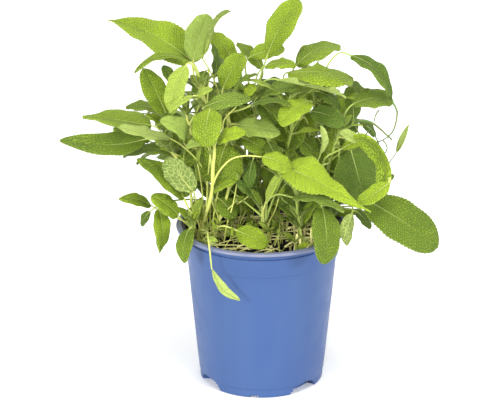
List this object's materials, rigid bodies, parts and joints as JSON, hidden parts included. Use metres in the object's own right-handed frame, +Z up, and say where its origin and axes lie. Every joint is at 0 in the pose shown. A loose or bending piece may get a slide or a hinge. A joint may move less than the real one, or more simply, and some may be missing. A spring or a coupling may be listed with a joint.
{
  "type": "potted sage",
  "caption": "Bushy sage with long oval grey-green leaves on square stems, growing in a tapered blue plastic nursery pot filled with dark soil.",
  "frame": {"origin": "middle of the flat pad under the pot, on the plane that the pot stands on", "axes": "+Z up along the pot's axis, +X to the right of the viewer, who stands at -Y"},
  "size_m": [0.2595, 0.1869, 0.272],
  "materials": {
    "pot_plastic": "satin moulded",
    "soil": "matte crumbly",
    "foliage": "matte velvety"
  },
  "bodies": {
    "root": {"pot": "pot_plastic", "soil": "soil", "leafy_stem_a": "foliage", "leafy_stem_b": "foliage", "leafy_stem_c": "foliage", "leafy_stem_d": "foliage", "leafy_stem_e": "foliage", "leafy_stem_f": "foliage", "leafy_stem_g": "foliage", "leafy_stem_h": "foliage", "leafy_stem_i": "foliage", "leafy_stem_j": "foliage", "leafy_stem_k": "foliage", "leafy_stem_l": "foliage", "leafy_stem_m": "foliage", "leafy_stem_n": "foliage", "leafy_stem_o": "foliage", "leafy_stem_p": "foliage"}
  },
  "joints": []
}
